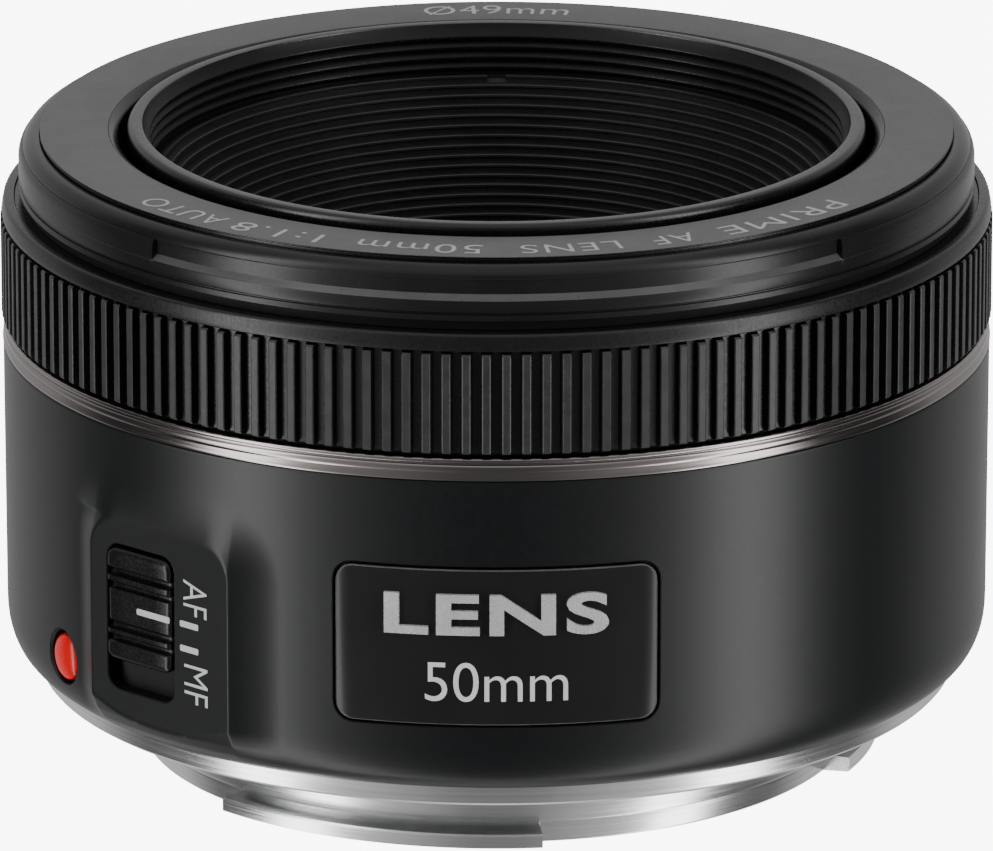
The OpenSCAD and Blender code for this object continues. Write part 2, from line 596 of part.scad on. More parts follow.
module blade(i) color([0.06, 0.06, 0.07]) rotate([0, 0, i * 360 / blades]) {
  z = 8.45 + 0.17 * i;
  union() {
    translate([0, 0, z]) linear_extrude(0.1) polygon(concat(
      [for (k = [0:9]) let (a = 14 + 9.3 * k) [16.6 * cos(a), 16.6 * sin(a)]],
      [[14.6 * cos(101), 14.6 * sin(101)], [11.6 * cos(101), 11.6 * sin(101)]],
      [for (k = [9:-1:0]) let (a = 8 + 10 * k) [9.62 * cos(a), 9.62 * sin(a)]],
      [[12.5, -0.5], [17.6, -0.9], [18.6, -0.9], [19.1, 0], [19.1, 3.2], [18.6, 3.8], [17.4, 3.9]]));
    translate([piv_r, 0, z]) cylinder(r = 0.3, h = 10.4 - z);
    translate([piv_r, pin_off, 7.3]) cylinder(r = 0.3, h = z + 0.1 - 7.3);
  }
}

module aperture_cover() color([0.1, 0.1, 0.1]) difference() {
  union() {
    ring(20.36, 13.25, 4.9, 5.7);
    ring(15.76, 14.6, 5.6, 8.1);
  }
  rotate([0, 0, ap_pol]) translate([ap_rad, 0, 4]) cylinder(r = 0.6, h = 5);
  rotate([0, 0, ap_pol]) translate([ap_rad, 0, 5.75]) cylinder(r = 1.75, h = 4);
  for (t = [40, 100, 340]) pillar(t, 16.3, 0.42, 4, 5.5);
}

module aperture_motor() color([0.7, 0.7, 0.7])
  rotate([0, 0, ap_pol]) translate([ap_rad, 0, 0]) union() {
    translate([0, 0, -2.6]) cylinder(r = 2.4, h = 7.5);
    translate([0, 0, -3.2]) cylinder(r = 0.9, h = 0.8);
    translate([0, 0, 4]) cylinder(r = 0.4, h = 3.2);
  }

module aperture_pinion() color([0.85, 0.7, 0.35])
  rotate([0, 0, ap_pol]) translate([ap_rad, 0, 0]) difference() {
    gear(0.2, 14, 0.7, 1.0, 0.04, 0, 5.9, 7.1);
    translate([0, 0, 5]) cylinder(r = 0.42, h = 3);
  }

module rear_cell() color([0.1, 0.1, 0.1]) difference() {
  rotate_extrude() polygon([[9.3, -2.45], [9.3, 0.25], [9.85, 0.48], [9.85, 7.6], [13.2, 7.6],
    [13.2, 4.9], [18.2, 4.9], [18.2, 4.1], [13.2, 4.1], [13.2, -4.1], [13.0, -4.3],
    [11.05, -4.3], [11.05, -2.7]]);
  rotate([0, 0, ap_pol]) translate([ap_rad, 0, 3]) cylinder(r = 2.6, h = 3);
  for (t = [40, 100, 340]) pillar(t, 16.3, 0.45, 3, 6);
}

module rear_retainer() color([0.08, 0.08, 0.08])
  rotate_extrude() polygon([[10.3, -4.3], [11.0, -4.3], [11.0, -3.56], [10.3, -3.82]]);

module cell_screws() color([0.35, 0.35, 0.36])
  for (t = [40, 100, 340]) pan_up(t, 16.3, 0.85, 3.55, 4.1, 0.4, 5.4);

// ---------- build ----------
mount_ring();
mount_screws();
rear_baffle();
contact_block();
contact_pins();
contact_screws();
rear_frame();
rear_barrel();
index_dot();
badge_plate();
switch_board();
detent_spring();
trim_ring();
friction_washers();
front_bezel();
name_ring();
felt_seal();
bezel_screws();
guide_barrel();
frame_screws();
photo_interrupters();
main_board();
motor_bracket();
focus_motor();
motor_screws();
gear_axle();
mode_switch();
switch_slider();
focus_ring();
encoder_comb();
cam_ring();
idler_gear();
motor_pinion();
focusing_barrel();
cam_rollers();
front_baffle();
front_cell();
front_retainer();
element_1();
element_2();
element_3();
element_4();
element_5();
element_6();
aperture_base();
aperture_cover();
aperture_motor();
rear_cell();
rear_retainer();
cell_screws();
aperture_ring();
aperture_pinion();
blade(0);  // blade_1
blade(1);  // blade_2
blade(2);  // blade_3
blade(3);  // blade_4
blade(4);  // blade_5
blade(5);  // blade_6
blade(6);  // blade_7
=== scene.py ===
import math
import bpy
import bmesh
import numpy as np
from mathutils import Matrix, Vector


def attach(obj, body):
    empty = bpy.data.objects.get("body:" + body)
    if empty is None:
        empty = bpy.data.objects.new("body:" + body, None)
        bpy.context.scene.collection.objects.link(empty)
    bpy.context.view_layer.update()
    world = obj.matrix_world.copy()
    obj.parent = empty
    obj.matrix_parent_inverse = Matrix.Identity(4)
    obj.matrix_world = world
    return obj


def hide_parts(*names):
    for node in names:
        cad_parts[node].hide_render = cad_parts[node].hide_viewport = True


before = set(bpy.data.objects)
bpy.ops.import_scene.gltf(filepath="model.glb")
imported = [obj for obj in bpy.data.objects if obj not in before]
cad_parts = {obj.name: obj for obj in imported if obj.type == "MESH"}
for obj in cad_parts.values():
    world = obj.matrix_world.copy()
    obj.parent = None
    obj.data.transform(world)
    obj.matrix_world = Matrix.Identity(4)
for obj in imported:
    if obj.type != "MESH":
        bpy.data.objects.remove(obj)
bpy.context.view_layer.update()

# Prime camera lens. Lengths below are in millimetres and angles in degrees from -Y, turned towards +X.
MM = 0.001
scene = bpy.context.scene
BODY, GRIP, SWITCH, FOCUS = "lens_barrel", "grip", "af_switch", "focus_group"
PAD = -41.6          # angle of the switch pad
PAD_D = 34.72        # distance of its flat face from the axis
BARREL_R = 34.5
BADGE_TOP = 34.53
NAME_TOP = 38.9


def shade(me, angle):
    """Smooth shading with sharp edges above the angle."""
    me.polygons.foreach_set("use_smooth", [True] * len(me.polygons))
    me.set_sharp_from_angle(angle=math.radians(angle))


# ---------------------------------------------------------------- materials
def nodes_of(name):
    m = bpy.data.materials.new(name)
    m.use_nodes = True
    t = m.node_tree
    return m, t, t.nodes["Principled BSDF"]


def coords(t, turned, scale):
    """Object coordinates, or for turned metal the radius, height and angle, so that its grain runs round."""
    tc = t.nodes.new("ShaderNodeTexCoord")
    if not turned:
        mp = t.nodes.new("ShaderNodeMapping")
        mp.inputs["Scale"].default_value = (scale,) * 3
        t.links.new(tc.outputs["Object"], mp.inputs["Vector"])
        return mp.outputs["Vector"]
    sep = t.nodes.new("ShaderNodeSeparateXYZ")
    t.links.new(tc.outputs["Object"], sep.inputs[0])
    radius = t.nodes.new("ShaderNodeVectorMath")
    radius.operation = "LENGTH"
    flat = t.nodes.new("ShaderNodeCombineXYZ")
    t.links.new(sep.outputs["X"], flat.inputs["X"])
    t.links.new(sep.outputs["Y"], flat.inputs["Y"])
    t.links.new(flat.outputs[0], radius.inputs[0])
    out = t.nodes.new("ShaderNodeCombineXYZ")
    for sock, src in (("X", radius.outputs["Value"]), ("Y", sep.outputs["Z"])):
        k = t.nodes.new("ShaderNodeMath")
        k.operation = "MULTIPLY"
        k.inputs[1].default_value = scale
        t.links.new(src, k.inputs[0])
        t.links.new(k.outputs[0], out.inputs[sock])
    ang = t.nodes.new("ShaderNodeMath")
    ang.operation = "ARCTAN2"
    t.links.new(sep.outputs["Y"], ang.inputs[0])
    t.links.new(sep.outputs["X"], ang.inputs[1])
    k = t.nodes.new("ShaderNodeMath")
    k.operation = "MULTIPLY"
    k.inputs[1].default_value = 1.2
    t.links.new(ang.outputs[0], k.inputs[0])
    t.links.new(k.outputs[0], out.inputs["Z"])
    return out.outputs[0]


def noise(t, vec, detail=3.0, rough=0.5):
    n = t.nodes.new("ShaderNodeTexNoise")
    n.inputs["Scale"].default_value = 1.0
    n.inputs["Detail"].default_value = detail
    n.inputs["Roughness"].default_value = rough
    t.links.new(vec, n.inputs["Vector"])
    return n.outputs["Fac"]


def ranged(t, fac, lo, hi, a=0.3, b=0.7):
    r = t.nodes.new("ShaderNodeMapRange")
    r.inputs["From Min"].default_value = a
    r.inputs["From Max"].default_value = b
    r.inputs["To Min"].default_value = lo
    r.inputs["To Max"].default_value = hi
    t.links.new(fac, r.inputs["Value"])
    return r.outputs["Result"]


def mat(name, base, rough, metal=0.0, spec=0.5, var=0.25, rvar=0.06, scale=400.0, bump=0.0,
        bscale=4000.0, bdist=0.00002, turned=False):
    """Painted, moulded or machined surface: tone, gloss and grain each come from their own noise."""
    m, t, p = nodes_of(name)
    p.inputs["Metallic"].default_value = metal
    p.inputs["Specular IOR Level"].default_value = spec
    tone = noise(t, coords(t, turned, scale), 4.0)
    mix = t.nodes.new("ShaderNodeMix")
    mix.data_type = "RGBA"
    lo = [c * (1 - var) for c in base]
    hi = [min(1.0, c * (1 + var)) for c in base]
    mix.inputs["A"].default_value = (*lo, 1)
    mix.inputs["B"].default_value = (*hi, 1)
    t.links.new(ranged(t, tone, 0.0, 1.0), mix.inputs["Factor"])
    t.links.new(mix.outputs["Result"], p.inputs["Base Color"])
    grain = noise(t, coords(t, turned, bscale), 2.0, 0.6)
    t.links.new(ranged(t, grain, max(0.02, rough - rvar), rough + rvar), p.inputs["Roughness"])
    if bump:
        b = t.nodes.new("ShaderNodeBump")
        b.inputs["Strength"].default_value = bump
        b.inputs["Distance"].default_value = bdist
        t.links.new(grain, b.inputs["Height"])
        t.links.new(b.outputs["Normal"], p.inputs["Normal"])
    return m


def glass(name, tint, coat_col):
    """Clear element with a coloured coating that shows when it faces the eye."""
    m, t, p = nodes_of(name)
    p.inputs["Transmission Weight"].default_value = 1.0
    p.inputs["IOR"].default_value = 1.62
    p.inputs["Coat Weight"].default_value = 0.5
    p.inputs["Coat Roughness"].default_value = 0.02
    lw = t.nodes.new("ShaderNodeLayerWeight")
    lw.inputs["Blend"].default_value = 0.35
    mix = t.nodes.new("ShaderNodeMix")
    mix.data_type = "RGBA"
    mix.inputs["A"].default_value = (*coat_col, 1)
    mix.inputs["B"].default_value = (1, 1, 1, 1)
    t.links.new(lw.outputs["Facing"], mix.inputs["Factor"])
    t.links.new(mix.outputs["Result"], p.inputs["Coat Tint"])
    p.inputs["Base Color"].default_value = (*tint, 1)
    t.links.new(ranged(t, noise(t, coords(t, False, 60.0)), 0.0, 0.02), p.inputs["Roughness"])
    return m


M = {
    "paint": mat("barrel_paint", (0.003, 0.0036, 0.0043), 0.33, spec=0.5, var=0.35, rvar=0.04,
                 scale=2600, bump=0.2, bscale=11000, bdist=0.00003),
    "pad": mat("pad_paint", (0.0038, 0.0043, 0.005), 0.33, spec=0.6, var=0.2, scale=2600,
               bump=0.2, bscale=11000, bdist=0.00003),
    "pocket": mat("pocket_black", (0.0055, 0.0055, 0.006), 0.48, spec=0.3, scale=800, bump=0.1),
    "bezel": mat("bezel_black", (0.0095, 0.0097, 0.0102), 0.25, spec=0.4, var=0.2, rvar=0.03,
                 scale=300, bump=0.06, bscale=6000),
    # Upward-facing ledge in each hood recess: its pale colour is a painted highlight for the overhead light it mirrors.
    "step_highlight_paint": mat("bezel_step_painted_highlight", (0.075, 0.0755, 0.077), 0.3, spec=0.6, var=0.15, rvar=0.03,
                 scale=300, bump=0.05),
    # Baffle valleys and inner walls: a slightly darker colour than the ridges, painted shade in the recesses.
    "recess_shade_paint": mat("baffle_recess_painted_shade", (0.016, 0.016, 0.0165), 0.5, spec=0.3, var=0.2, scale=500, bump=0.08),
    "lip": mat("lip_black", (0.004, 0.004, 0.0045), 0.27, spec=0.6, var=0.2, scale=300,
               bump=0.05, bscale=5000),
    "name": mat("name_grey", (0.078, 0.0785, 0.08), 0.42, spec=0.55, var=0.12, scale=500,
                bump=0.12, bscale=8000),
    "baffle": mat("baffle_black", (0.02, 0.02, 0.0208), 0.36, spec=0.5, var=0.2, scale=300),
    "rib": mat("grip_black", (0.0065, 0.0065, 0.007), 0.3, spec=0.5, var=0.2, scale=600,
               bump=0.1, bscale=5000),
    # Rib tops of the focus ring: a lighter colour than the ribs, a painted highlight.
    "crest": mat("grip_crest", (0.03, 0.03, 0.031), 0.4, spec=0.5, var=0.25, scale=900,
                 bump=0.15, bscale=6000),
    "trim": mat("trim_metal", (0.35, 0.318, 0.312), 0.15, metal=1.0, var=0.12, rvar=0.05,
                scale=3000, bump=0.15, bscale=9000, turned=True),
    "mount": mat("mount_metal", (0.93, 0.935, 0.94), 0.19, metal=0.94, var=0.07, rvar=0.06,
                 scale=4000, bump=0.25, bscale=9000, turned=True),
    # Tops of the bayonet tabs: much darker metal than the ring, painted shade for the dark barrel they face and mirror.
    "seat": mat("tab_seat_metal", (0.3, 0.302, 0.305), 0.35, metal=0.9, var=0.1, rvar=0.05,
                scale=900, bump=0.06),
    "badge": mat("badge_gloss", (0.014, 0.014, 0.0148), 0.14, spec=0.3, var=0.1, rvar=0.02,
                 scale=200),
    "badge_rim": mat("badge_rim", (0.12, 0.12, 0.122), 0.3, spec=0.6, scale=600),
    "chrome": mat("badge_letters", (0.72, 0.72, 0.73), 0.26, metal=0.4, var=0.08, scale=900,
                  bump=0.1, bscale=6000),
    "print": mat("print_white", (0.72, 0.73, 0.74), 0.45, spec=0.3, var=0.05, scale=700),
    "print_grey": mat("print_grey", (0.5, 0.505, 0.51), 0.5, spec=0.3, var=0.06, scale=700),
    "red": mat("index_red", (0.8, 0.001, 0.004), 0.22, spec=0.5, var=0.08, rvar=0.02, scale=300),
    "knob": mat("knob_black", (0.0045, 0.0046, 0.0052), 0.26, spec=0.5, var=0.25, scale=900,
                bump=0.1, bscale=6000),
    "moulding": mat("black_moulding", (0.02, 0.02, 0.021), 0.5, spec=0.4, var=0.25, scale=700,
                    bump=0.15),
    "screw": mat("screw_steel", (0.32, 0.32, 0.33), 0.32, metal=1.0, var=0.15, scale=1500, bump=0.1),
    "gold": mat("contact_gold", (0.83, 0.62, 0.27), 0.22, metal=1.0, var=0.12, scale=1500, bump=0.08),
    "board": mat("board_green", (0.02, 0.11, 0.055), 0.38, spec=0.5, var=0.35, scale=1200, bump=0.1),
    "bronze": mat("spring_bronze", (0.6, 0.44, 0.25), 0.28, metal=1.0, var=0.12, scale=1500, bump=0.1),
    "washer": mat("washer_plastic", (0.01, 0.01, 0.01), 0.5, spec=0.2, var=0.1, scale=700, bump=0.1),
    "felt": mat("felt_black", (0.012, 0.012, 0.012), 0.9, spec=0.1, var=0.4, scale=4000, bump=0.8,
                bdist=0.00008),
    "steel": mat("stamped_steel", (0.55, 0.55, 0.55), 0.34, metal=1.0, var=0.1, scale=1500, bump=0.1),
    "alloy": mat("cam_alloy", (0.42, 0.4, 0.37), 0.36, metal=1.0, var=0.1, scale=2500, bump=0.15,
                 turned=True),
    "acetal": mat("gear_acetal", (0.68, 0.65, 0.55), 0.42, var=0.08, scale=700, bump=0.1),
    "brass": mat("brass", (0.7, 0.5, 0.22), 0.28, metal=1.0, var=0.12, scale=1500, bump=0.1),
    "anodised": mat("retainer_black", (0.012, 0.012, 0.013), 0.38, spec=0.5, var=0.2, scale=900,
                    bump=0.1, turned=True),
    "blade": mat("blade_steel", (0.03, 0.03, 0.033), 0.34, metal=0.5, var=0.2, scale=900, bump=0.1),
    "glass_a": glass("coated_glass_green", (0.97, 1.0, 0.98), (0.35, 0.95, 0.6)),
    "glass_b": glass("coated_glass_violet", (0.99, 0.98, 1.0), (0.6, 0.4, 0.95)),
}
CAD_MATS = {
    "moulding": "rear_baffle contact_block rear_frame guide_barrel front_cell rear_cell aperture_base"
                " aperture_cover aperture_ring photo_interrupters encoder_comb",
    "screw": "mount_screws contact_screws bezel_screws frame_screws motor_screws cell_screws",
    "gold": "contact_pins", "board": "switch_board main_board", "bronze": "detent_spring",
    "washer": "friction_washers", "felt": "felt_seal", "steel": "motor_bracket focus_motor"
    " aperture_motor gear_axle switch_slider", "alloy": "cam_ring", "acetal": "idler_gear",
    "brass": "motor_pinion aperture_pinion cam_rollers", "anodised": "front_retainer rear_retainer",
    "glass_a": "element_1 element_3 element_5", "glass_b": "element_2 element_4 element_6",
    "blade": " ".join("blade_%d" % i for i in range(1, 8)), "paint": "rear_barrel",
    "mount": "mount_ring", "bezel": "front_bezel focusing_barrel", "name": "name_ring",
    "baffle": "front_baffle", "rib": "focus_ring", "trim": "trim_ring", "red": "index_dot",
    "badge": "badge_plate", "knob": "mode_switch",
}
for key, names in CAD_MATS.items():
    for n in names.split():
        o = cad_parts[n]
        o.data.materials.clear()
        o.data.materials.append(M[key])
        shade(o.data, 28)


# ---------------------------------------------------------------- mesh helpers
def make(name, verts, faces, mats, body, stands_for=(), idx=None, smooth=30.0):
    """Mesh object from millimetres. body: the rigid body that carries it; stands_for: CAD nodes it replaces."""
    me = bpy.data.meshes.new(name)
    me.from_pydata([(x * MM, y * MM, z * MM) for x, y, z in verts], [], faces)
    me.update()
    bm = bmesh.new()
    bm.from_mesh(me)
    if idx is not None:
        for f, i in zip(bm.faces, idx):
            f.material_index = i
    bmesh.ops.recalc_face_normals(bm, faces=bm.faces[:])
    bm.to_mesh(me)
    bm.free()
    for m in mats:
        me.materials.append(M[m])
    shade(me, smooth)
    o = bpy.data.objects.new(name, me)
    scene.collection.objects.link(o)
    if body:
        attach(o, body)
        if stands_for:
            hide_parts(*stands_for)
    return o


def polar(r, t, z):
    """Point at radius r and angle t, from -Y towards +X."""
    a = math.radians(t)
    return (r * math.sin(a), -r * math.cos(a), z)


def sweep(name, cols, loop, mats, body, stands_for=(), idx=None, smooth=30.0):
    """Closed outline loop(angle) -> [(r, z), ...] carried round the axis through the angles cols."""
    rows = [loop(t) for t in cols]
    n, k = len(cols), len(rows[0])
    verts = [polar(r, t, z) for t, row in zip(cols, rows) for r, z in row]
    faces, ids = [], []
    for i in range(n):
        j = (i + 1) % n
        for q in range(k):
            w = (q + 1) % k
            faces.append((i * k + q, i * k + w, j * k + w, j * k + q))
            ids.append(idx[q] if idx else 0)
    return make(name, verts, faces, mats, body, stands_for, ids, smooth)


def wrap(t):
    return (t + 180) % 360 - 180


def turns(n=300, extra=()):
    """Sorted angles of n equal steps with the extra ones added."""
    c = sorted(set([round(-180 + 360.0 * i / n, 4) for i in range(n)] + [round(e, 4) for e in extra]))
    return [c[0]] + [b for a, b in zip(c, c[1:]) if b - a > 0.002]


def lathe(name, pts, mats, body, stands_for=(), n=300, idx=None, smooth=30.0):
    return sweep(name, turns(n), lambda t: pts, mats, body, stands_for, idx, smooth)


def arcpts(c, rr, rz, a0, a1, n):
    """Points of an elliptical arc in the (r, z) plane."""
    return [(c[0] + rr * math.sin(math.radians(a)), c[1] + rz * math.cos(math.radians(a)))
            for a in [a0 + (a1 - a0) * i / n for i in range(n + 1)]]


def rrect(x0, x1, z0, z1, r, n=7):
    """Rounded rectangle outline, same number of points whatever its size."""
    out = []
    for cx, cz, a0 in ((x1 - r, z1 - r, 0), (x1 - r, z0 + r, 90), (x0 + r, z0 + r, 180), (x0 + r, z1 - r, 270)):
        for i in range(n + 1):
            a = math.radians(a0 + 90 * i / n)
            out.append((cx + r * math.sin(a), cz + r * math.cos(a)))
    return out


def loft(name, levels, place, mats, body, stands_for=(), smooth=30.0):
    """levels: [(outline, depth)]; place(x, depth, z) -> point; both ends capped."""
    k = len(levels[0][0])
    verts = [place(x, d, z) for o, d in levels for x, z in o]
    faces = [tuple(i * k + j for j in range(k)) for i in (0, len(levels) - 1)]
    for i in range(len(levels) - 1):
        faces += [(i * k + j, i * k + (j + 1) % k, (i + 1) * k + (j + 1) % k, (i + 1) * k + j) for j in range(k)]
    return make(name, verts, faces, mats, body, stands_for, None, smooth)


def circle(r, z0):
    return [(r * math.sin(a), z0 + r * math.cos(a)) for a in np.linspace(0, 2 * math.pi, 49)[:-1]]


def around(x, d, z, r=BARREL_R):
    """Place at depth d on a cylinder, with x measured along its surface."""
    return polar(d, math.degrees(x / r), z)


def flat_at(angle):
    """Placing function of a flat face that looks outward at the angle."""
    a = math.radians(angle)
    c, s = math.cos(a), math.sin(a)
    return lambda x, d, z: (x * c + d * s, x * s - d * c, z)


def cut(obj, cutters):
    """Subtracts helper solids from obj and removes them."""
    for c in cutters:
        m = obj.modifiers.new("cut", "BOOLEAN")
        m.operation, m.solver, m.object = "DIFFERENCE", "EXACT", c
        m.material_mode = "TRANSFER"
    bpy.context.view_layer.update()
    dg = bpy.context.evaluated_depsgraph_get()
    me = bpy.data.meshes.new_from_object(obj.evaluated_get(dg), depsgraph=dg)
    obj.modifiers.clear()
    obj.data = me
    for c in cutters:
        bpy.data.objects.remove(c)
    shade(me, 30)


def strip(name, x0, x1, z0, z1, rc, levels, place, mats, body, stands_for=(), n=40, smooth=30.0):
    """Rounded plate that can follow a curve. levels: [(inset, depth)], first and last are capped."""
    hw, hh, cx, cz = (x1 - x0) / 2, (z1 - z0) / 2, (x0 + x1) / 2, (z0 + z1) / 2
    ph = [90.0 * i / 6 for i in range(7)]
    st = [(-1, p) for p in reversed(ph)] + [(0, -1 + 2.0 * i / n) for i in range(1, n)] + [(1, p) for p in ph]

    def chain(inset):
        r = max(rc - inset, 0.02)
        w, h = hw - inset, hh - inset
        out = []
        for k, v in st:
            if k == 0:
                out.append(((w - r) * v, h))
            else:
                a = math.radians(v)
                out.append((k * ((w - r) + r * math.sin(a)), h - r + r * math.cos(a)))
        return out

    verts, faces, k = [], [], len(st)
    for inset, d in levels:
        c = chain(inset)
        verts += [place(cx + x, d, cz + z) for x, z in c] + [place(cx + x, d, cz - z) for x, z in c]
    for i in (0, len(levels) - 1):
        b = i * 2 * k
        faces += [(b + j, b + j + 1, b + k + j + 1, b + k + j) for j in range(k - 1)]
    for i in range(len(levels) - 1):
        a, b = i * 2 * k, (i + 1) * 2 * k
        for j in range(k - 1):
            faces.append((a + j, a + j + 1, b + j + 1, b + j))
            faces.append((a + k + j, a + k + j + 1, b + k + j + 1, b + k + j))
        for j in (0, k - 1):
            faces.append((a + j, a + k + j, b + k + j, b + j))
    return make(name, verts, faces, mats, body, stands_for, None, smooth)


def lettering(name, body_text, place, height, width, mats, body, raise_=0.0, bold=0.0, gap=1.0, base=0.015):
    """Generic lettering in the built-in font, laid on a surface by place(x, up, height)."""
    cu = bpy.data.curves.new(name, "FONT")
    cu.body = body_text
    cu.size = 1.0
    cu.space_character = gap
    cu.offset = bold
    cu.resolution_u = 6
    o = bpy.data.objects.new(name + "_tmp", cu)
    scene.collection.objects.link(o)
    bpy.context.view_layer.update()
    me = o.to_mesh()
    bm = bmesh.new()
    bm.from_mesh(me)
    o.to_mesh_clear()
    bpy.data.objects.remove(o)
    xs = [v.co.x for v in bm.verts]
    ys = [v.co.y for v in bm.verts]
    sx, sy = width / (max(xs) - min(xs)), height / (max(ys) - min(ys))
    mx, my = (max(xs) + min(xs)) / 2, (max(ys) + min(ys)) / 2
    for v in bm.verts:
        v.co.x, v.co.y, v.co.z = (v.co.x - mx) * sx, (v.co.y - my) * sy, 0.0
    bmesh.ops.remove_doubles(bm, verts=bm.verts[:], dist=1e-4)
    q = -width / 2
    while q < width / 2:     # cut across every half millimetre, so that the letters can follow the curve
        bmesh.ops.bisect_plane(bm, geom=bm.verts[:] + bm.edges[:] + bm.faces[:],
                               plane_co=(q, 0, 0), plane_no=(1, 0, 0))
        q += 0.5
    if raise_:
        r = bmesh.ops.extrude_face_region(bm, geom=bm.faces[:])
        top = [g for g in r["geom"] if isinstance(g, bmesh.types.BMVert)]
        for v in top:
            v.co.z = raise_
    for v in bm.verts:
        v.co = place(v.co.x, v.co.y, v.co.z + base)
        v.co *= MM
    bmesh.ops.recalc_face_normals(bm, faces=bm.faces[:])
    out = bpy.data.meshes.new(name)
    bm.to_mesh(out)
    bm.free()
    for m in mats:
        out.materials.append(M[m])
    shade(out, 30)
    o = bpy.data.objects.new(name, out)
    scene.collection.objects.link(o)
    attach(o, body)
    return o


# ---------------------------------------------------------------- rear barrel
BARREL_LOW = [1.41, 1.44, 1.5, 1.6, 1.7, 1.85, 2.0, 2.2, 2.4, 2.6, 2.8]


def profile(z, pts):
    return float(np.interp(z, [p[0] for p in pts], [p[1] for p in pts]))


def body_r(z):
    pts = [(1.41, 32.4), (1.44, 32.5), (1.5, 32.66), (1.6, 32.9), (1.7, 33.08), (1.85, 33.28), (2.0, 33.45),
           (2.2, 33.64), (2.4, 33.8), (2.6, 33.92), (2.8, 34.02), (3.2, 34.18), (3.6, 34.29), (4.0, 34.37),
           (4.6, 34.43), (5.4, 34.45), (23.78, 34.5), (23.88, 34.47), (23.92, 34.4)]
    return profile(z, pts)


def pad_cap(z):
    """Limit of the pad's height, which rounds its lower edge."""
    pts = [(1.41, 32.4), (1.6, 32.95), (2.0, 33.6), (2.6, 34.25), (3.4, 34.8), (4.4, 35.25),
           (6.0, 35.6), (24, 35.6)]
    return profile(z, pts)


def barrel_r(t, z):
    """Barrel radius with the flat switch pad and the soft ramp round it."""
    r0 = body_r(z)
    d = wrap(t - PAD)
    if abs(d) > 24 or z > 23:
        return r0
    half, top, corner = 6.27, 17.6, 2.2
    u = BARREL_R * math.radians(d) - 0.02
    du = abs(u) - half
    dz = z - top
    if du > -corner and dz > -corner:
        s = math.hypot(du + corner, dz + corner) - corner
    else:
        s = max(du, dz)
    if s <= 0:
        return max(r0 * 0.98, min(PAD_D / math.cos(math.radians(d)), pad_cap(z)))
    near = max(-half, min(half, u))
    edge = min(PAD_D / math.cos(near / BARREL_R), pad_cap(z)) - r0
    wide = 3.6 if dz > 0 or u > 0 else 2.6
    if s > wide:
        return r0
    return r0 + max(edge, 0) * (1 - s / wide) ** 2


pad_cols = [PAD + x for x in np.arange(-19.0, 19.01, 0.2)]
cols = turns(288, pad_cols)
zrow = sorted(set([round(z, 3) for z in list(np.arange(3.0, 21.3, 0.2)) + BARREL_LOW +
                   [22.0, 23.0, 23.7, 23.78, 23.83, 23.88, 23.92]]))
outer = [(t, z) for t in cols for z in zrow]
k = len(zrow)
verts, faces = [polar(barrel_r(t, z), t, z) for t, z in outer], []
n = len(cols)
inner = [(33.0, 23.92), (33.0, 2.4), (28.0, 2.4), (28.0, 1.41)]
base = len(verts)
for t in cols:
    verts += [polar(r, t, z) for r, z in inner]
for i in range(n):
    j = (i + 1) % n
    faces += [(i * k + q, i * k + q + 1, j * k + q + 1, j * k + q) for q in range(k - 1)]
    ring_i = [i * k + k - 1] + [base + 4 * i + q for q in range(4)] + [i * k]
    ring_j = [j * k + k - 1] + [base + 4 * j + q for q in range(4)] + [j * k]
    faces += [(ring_i[q], ring_i[q + 1], ring_j[q + 1], ring_j[q]) for q in range(5)]
shell = make("barrel_shell", verts, faces, ["paint", "pocket"], BODY, ["rear_barrel"], smooth=24)
pad_place = flat_at(PAD)
ro = lambda e: rrect(-4.8 - e, 1.4 + e, 5.4 - e, 15.9 + e, 1.1 + e)
slot_cut = loft("cut_slot", [(ro(0), 33.6), (ro(0), 34.64), (ro(0.12), 34.76), (ro(0.12), 37)], pad_place,
                ["pocket"], None)
stem_cut = loft("cut_stem", [(rrect(-2.65, -1.25, 8.5, 12.0, 0.1, 2), d) for d in (31, 34)], pad_place,
                ["pocket"], None)
badge_cut = strip("cut_badge", -11.28, 11.28, 6.42, 17.84, 1.4,
                  [(0, 33.85), (0, 34.36), (-0.16, 34.56), (-0.16, 36)], around, ["pocket"], None)
dot_place = flat_at(-60.5)
DOT_Z = 5.5
dot_cut = loft("cut_dot", [(circle(1.9, DOT_Z), 33.4), (circle(1.9, DOT_Z), 34.2), (circle(2.25, DOT_Z), 34.62),
                           (circle(2.25, DOT_Z), 37)], dot_place, ["pocket"], None)
cut(shell, [slot_cut, stem_cut, badge_cut, dot_cut])

# red index dot, a dome in its hole
dome = [(circle(1.65 * math.cos(a), DOT_Z), 34.02 + 0.62 * math.sin(a))
        for a in np.linspace(0, math.pi / 2 * 0.97, 9)]
loft("index_dome", [(circle(1.65, DOT_Z), 33.42)] + dome, dot_place, ["red"], BODY, ["index_dot"], smooth=60)

# badge
strip("badge", -11.08, 11.08, 6.62, 17.64, 1.2, [(0, 33.86), (0, 34.42), (0.07, 34.5), (0.16, BADGE_TOP)],
      around, ["badge"], BODY, ["badge_plate"], n=60)
strip("badge_edge", -11.09, 11.09, 6.61, 17.65, 1.2,
      [(0, 34.3), (0, 34.42), (0.05, 34.49), (0.12, 34.49), (0.12, 34.3)], around, ["badge_rim"], BODY, n=60)


def on_badge(zc):
    return lambda x, y, h: Vector(around(x, BADGE_TOP + h, zc + y))


lettering("badge_word", "LENS", on_badge(14.55), 2.95, 15.2, ["chrome"], BODY, raise_=0.28, bold=0.03, gap=1.12)
lettering("badge_focal", "50mm", on_badge(9.7), 2.8, 9.7, ["print"], BODY, bold=-0.004)

# ---------------------------------------------------------------- switch
KNOB = (-4.62, 1.22, 7.5, 15.7)


